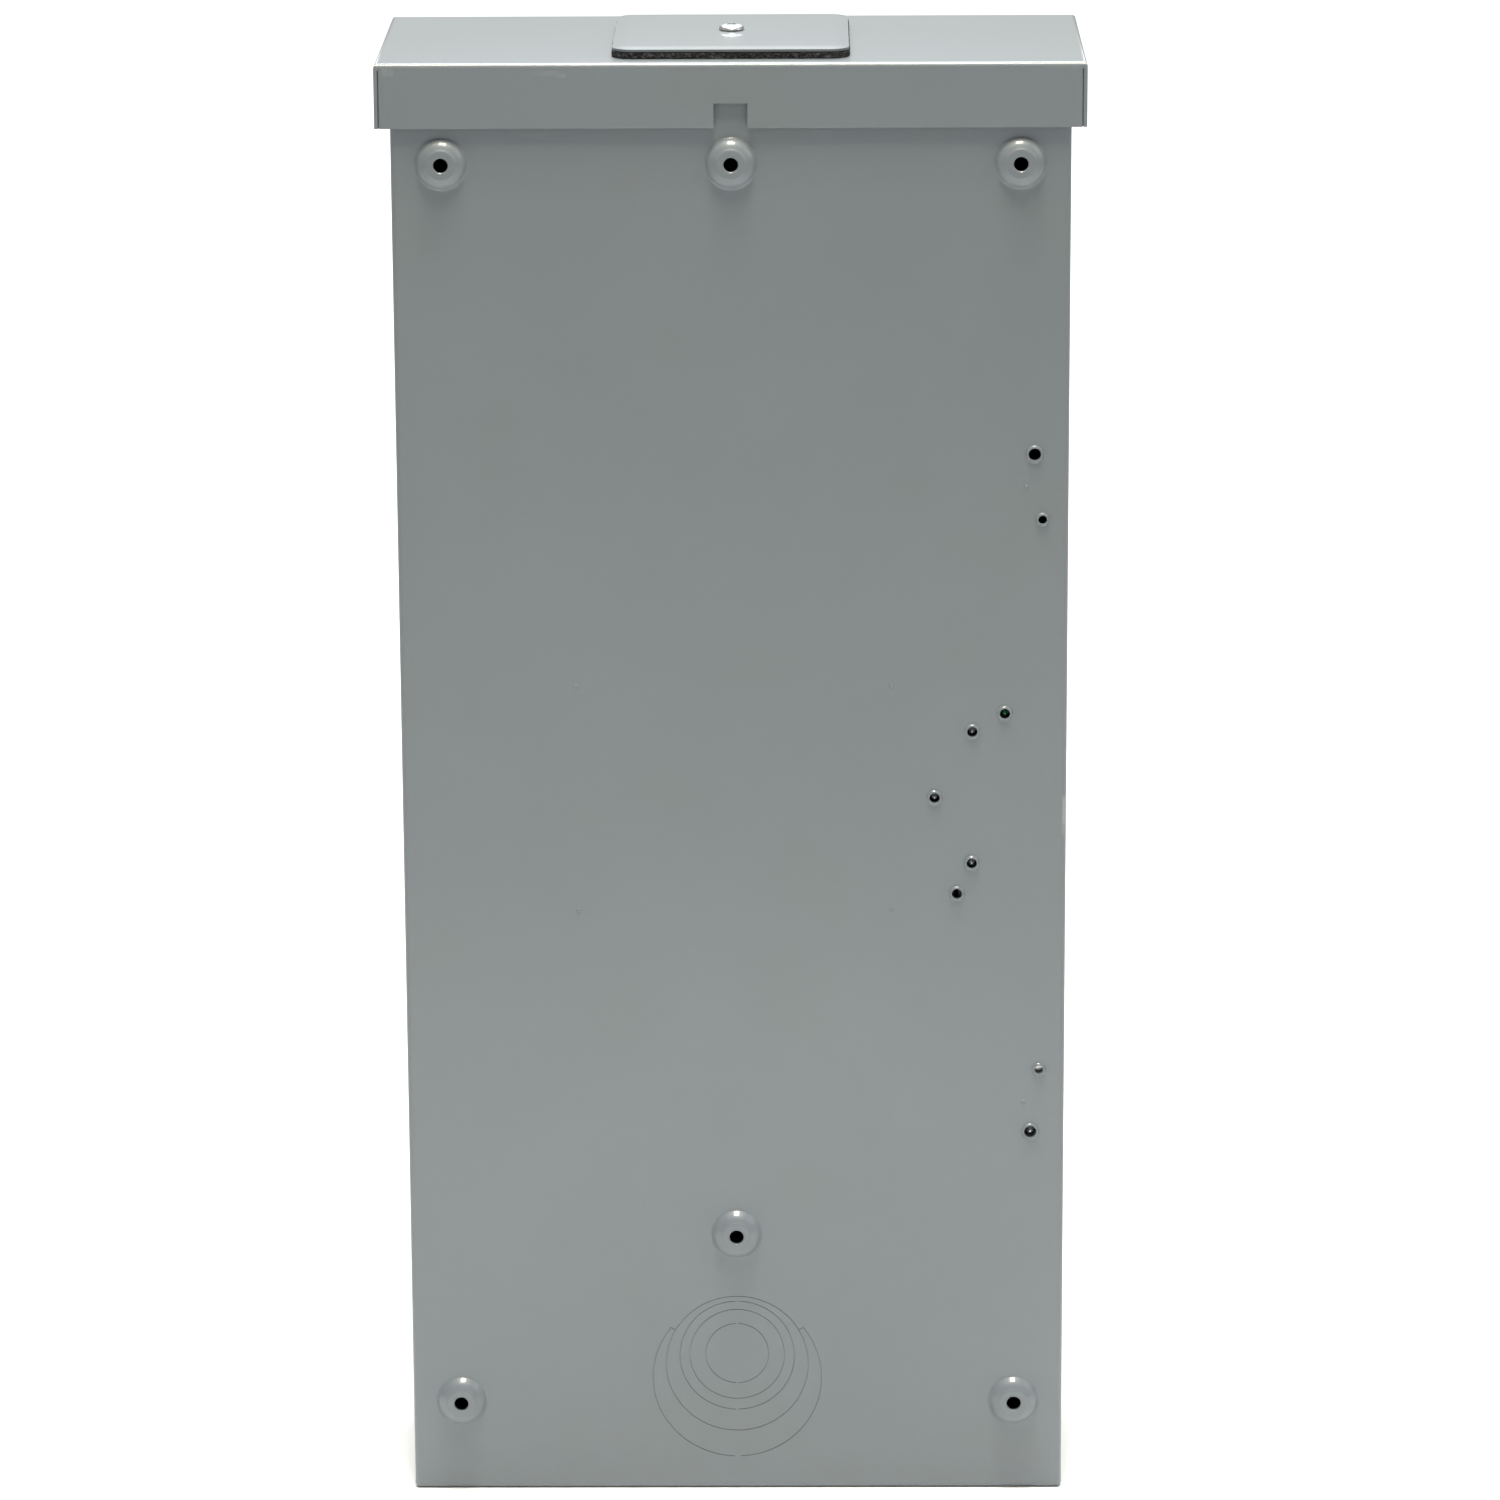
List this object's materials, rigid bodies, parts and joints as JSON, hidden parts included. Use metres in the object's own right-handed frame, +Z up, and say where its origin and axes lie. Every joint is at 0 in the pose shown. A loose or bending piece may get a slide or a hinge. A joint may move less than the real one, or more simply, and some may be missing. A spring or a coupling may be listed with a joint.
{
  "type": "breaker panel box",
  "caption": "Tall narrow outdoor breaker panel box of grey painted steel with a rain hood, lift-up door, breakers, bus bars and wall-mounting bosses.",
  "frame": {"origin": "middle of the box's footprint, on the plane of its bottom face", "axes": "+Z up, +Y towards the wall (out of the back panel), -Y out of the door, +X to the right seen from the front"},
  "size_m": [0.2354, 0.1084, 0.5076],
  "materials": {
    "grey_paint": "semi-gloss grey enamel on steel",
    "zinc_plate": "bright zinc-plated steel",
    "galvanised_steel": "galvanised steel sheet",
    "black_foam": "closed-cell foam",
    "tinned_aluminium": "tin-plated aluminium bar",
    "aluminium": "extruded aluminium",
    "black_moulding": "fine-grained thermoset moulding",
    "green_screw": "green dyed zinc plate"
  },
  "bodies": {
    "box": {"enclosure_box": "grey_paint", "hood": "grey_paint", "hub_gasket": "black_foam", "hub_closing_plate": "grey_paint", "hub_plate_screw": "zinc_plate", "hub_clamp_bar": "galvanised_steel", "dead_front": "grey_paint", "door_hinge_pin_left": "zinc_plate", "door_hinge_pin_right": "zinc_plate", "padlock_hasp": "zinc_plate", "interior_pan": "galvanised_steel", "interior_pan_screw": "zinc_plate", "bus_base": "black_moulding", "bus_bar_left": "tinned_aluminium", "bus_bar_right": "tinned_aluminium", "main_breaker_base": "black_moulding", "main_breaker_cover": "black_moulding", "main_lug_left": "aluminium", "main_lug_right": "aluminium", "main_lug_left_screw": "zinc_plate", "main_lug_right_screw": "zinc_plate", "neutral_base": "black_moulding", "neutral_base_screw_1": "zinc_plate", "neutral_base_screw_2": "zinc_plate", "neutral_bar": "aluminium", "neutral_lug": "aluminium", "neutral_lug_screw": "zinc_plate", "bonding_screw": "green_screw", "ground_bar": "aluminium", "ground_bar_screw": "zinc_plate", "dead_front_screw_1": "zinc_plate", "branch_breaker_1": "black_moulding", "branch_breaker_1_screw": "zinc_plate", "dead_front_screw_2": "zinc_plate", "branch_breaker_2": "black_moulding", "branch_breaker_2_screw": "zinc_plate", "dead_front_screw_3": "zinc_plate", "branch_breaker_3": "black_moulding", "branch_breaker_3_screw": "zinc_plate", "dead_front_screw_4": "zinc_plate", "branch_breaker_4": "black_moulding", "branch_breaker_4_screw": "zinc_plate"},
    "door": {"door": "grey_paint"},
    "main_handle": {"main_breaker_handle": "black_moulding"},
    "branch_handle_1": {"branch_breaker_1_handle": "black_moulding"},
    "branch_handle_2": {"branch_breaker_2_handle": "black_moulding"},
    "branch_handle_3": {"branch_breaker_3_handle": "black_moulding"},
    "branch_handle_4": {"branch_breaker_4_handle": "black_moulding"}
  },
  "joints": [
    {"name": "door_hinge", "type": "hinge", "parent": "box", "child": "door", "pos_m": [0, -0.04325, 0.4736], "axis": [-1, 0, 0], "range_deg": [0, 100]},
    {"name": "main_handle_pivot", "type": "hinge", "parent": "box", "child": "main_handle", "pos_m": [0, -0.02325, 0.3549], "axis": [1, 0, 0], "range_deg": [0, 46]},
    {"name": "branch_handle_1_pivot", "type": "hinge", "parent": "box", "child": "branch_handle_1", "pos_m": [-0.033, -0.02525, 0.2882], "axis": [0, 0, -1], "range_deg": [0, 40]},
    {"name": "branch_handle_2_pivot", "type": "hinge", "parent": "box", "child": "branch_handle_2", "pos_m": [0.033, -0.02525, 0.2882], "axis": [0, 0, 1], "range_deg": [0, 40]},
    {"name": "branch_handle_3_pivot", "type": "hinge", "parent": "box", "child": "branch_handle_3", "pos_m": [-0.033, -0.02525, 0.2628], "axis": [0, 0, -1], "range_deg": [0, 40]},
    {"name": "branch_handle_4_pivot", "type": "hinge", "parent": "box", "child": "branch_handle_4", "pos_m": [0.033, -0.02525, 0.2628], "axis": [0, 0, 1], "range_deg": [0, 40]}
  ]
}
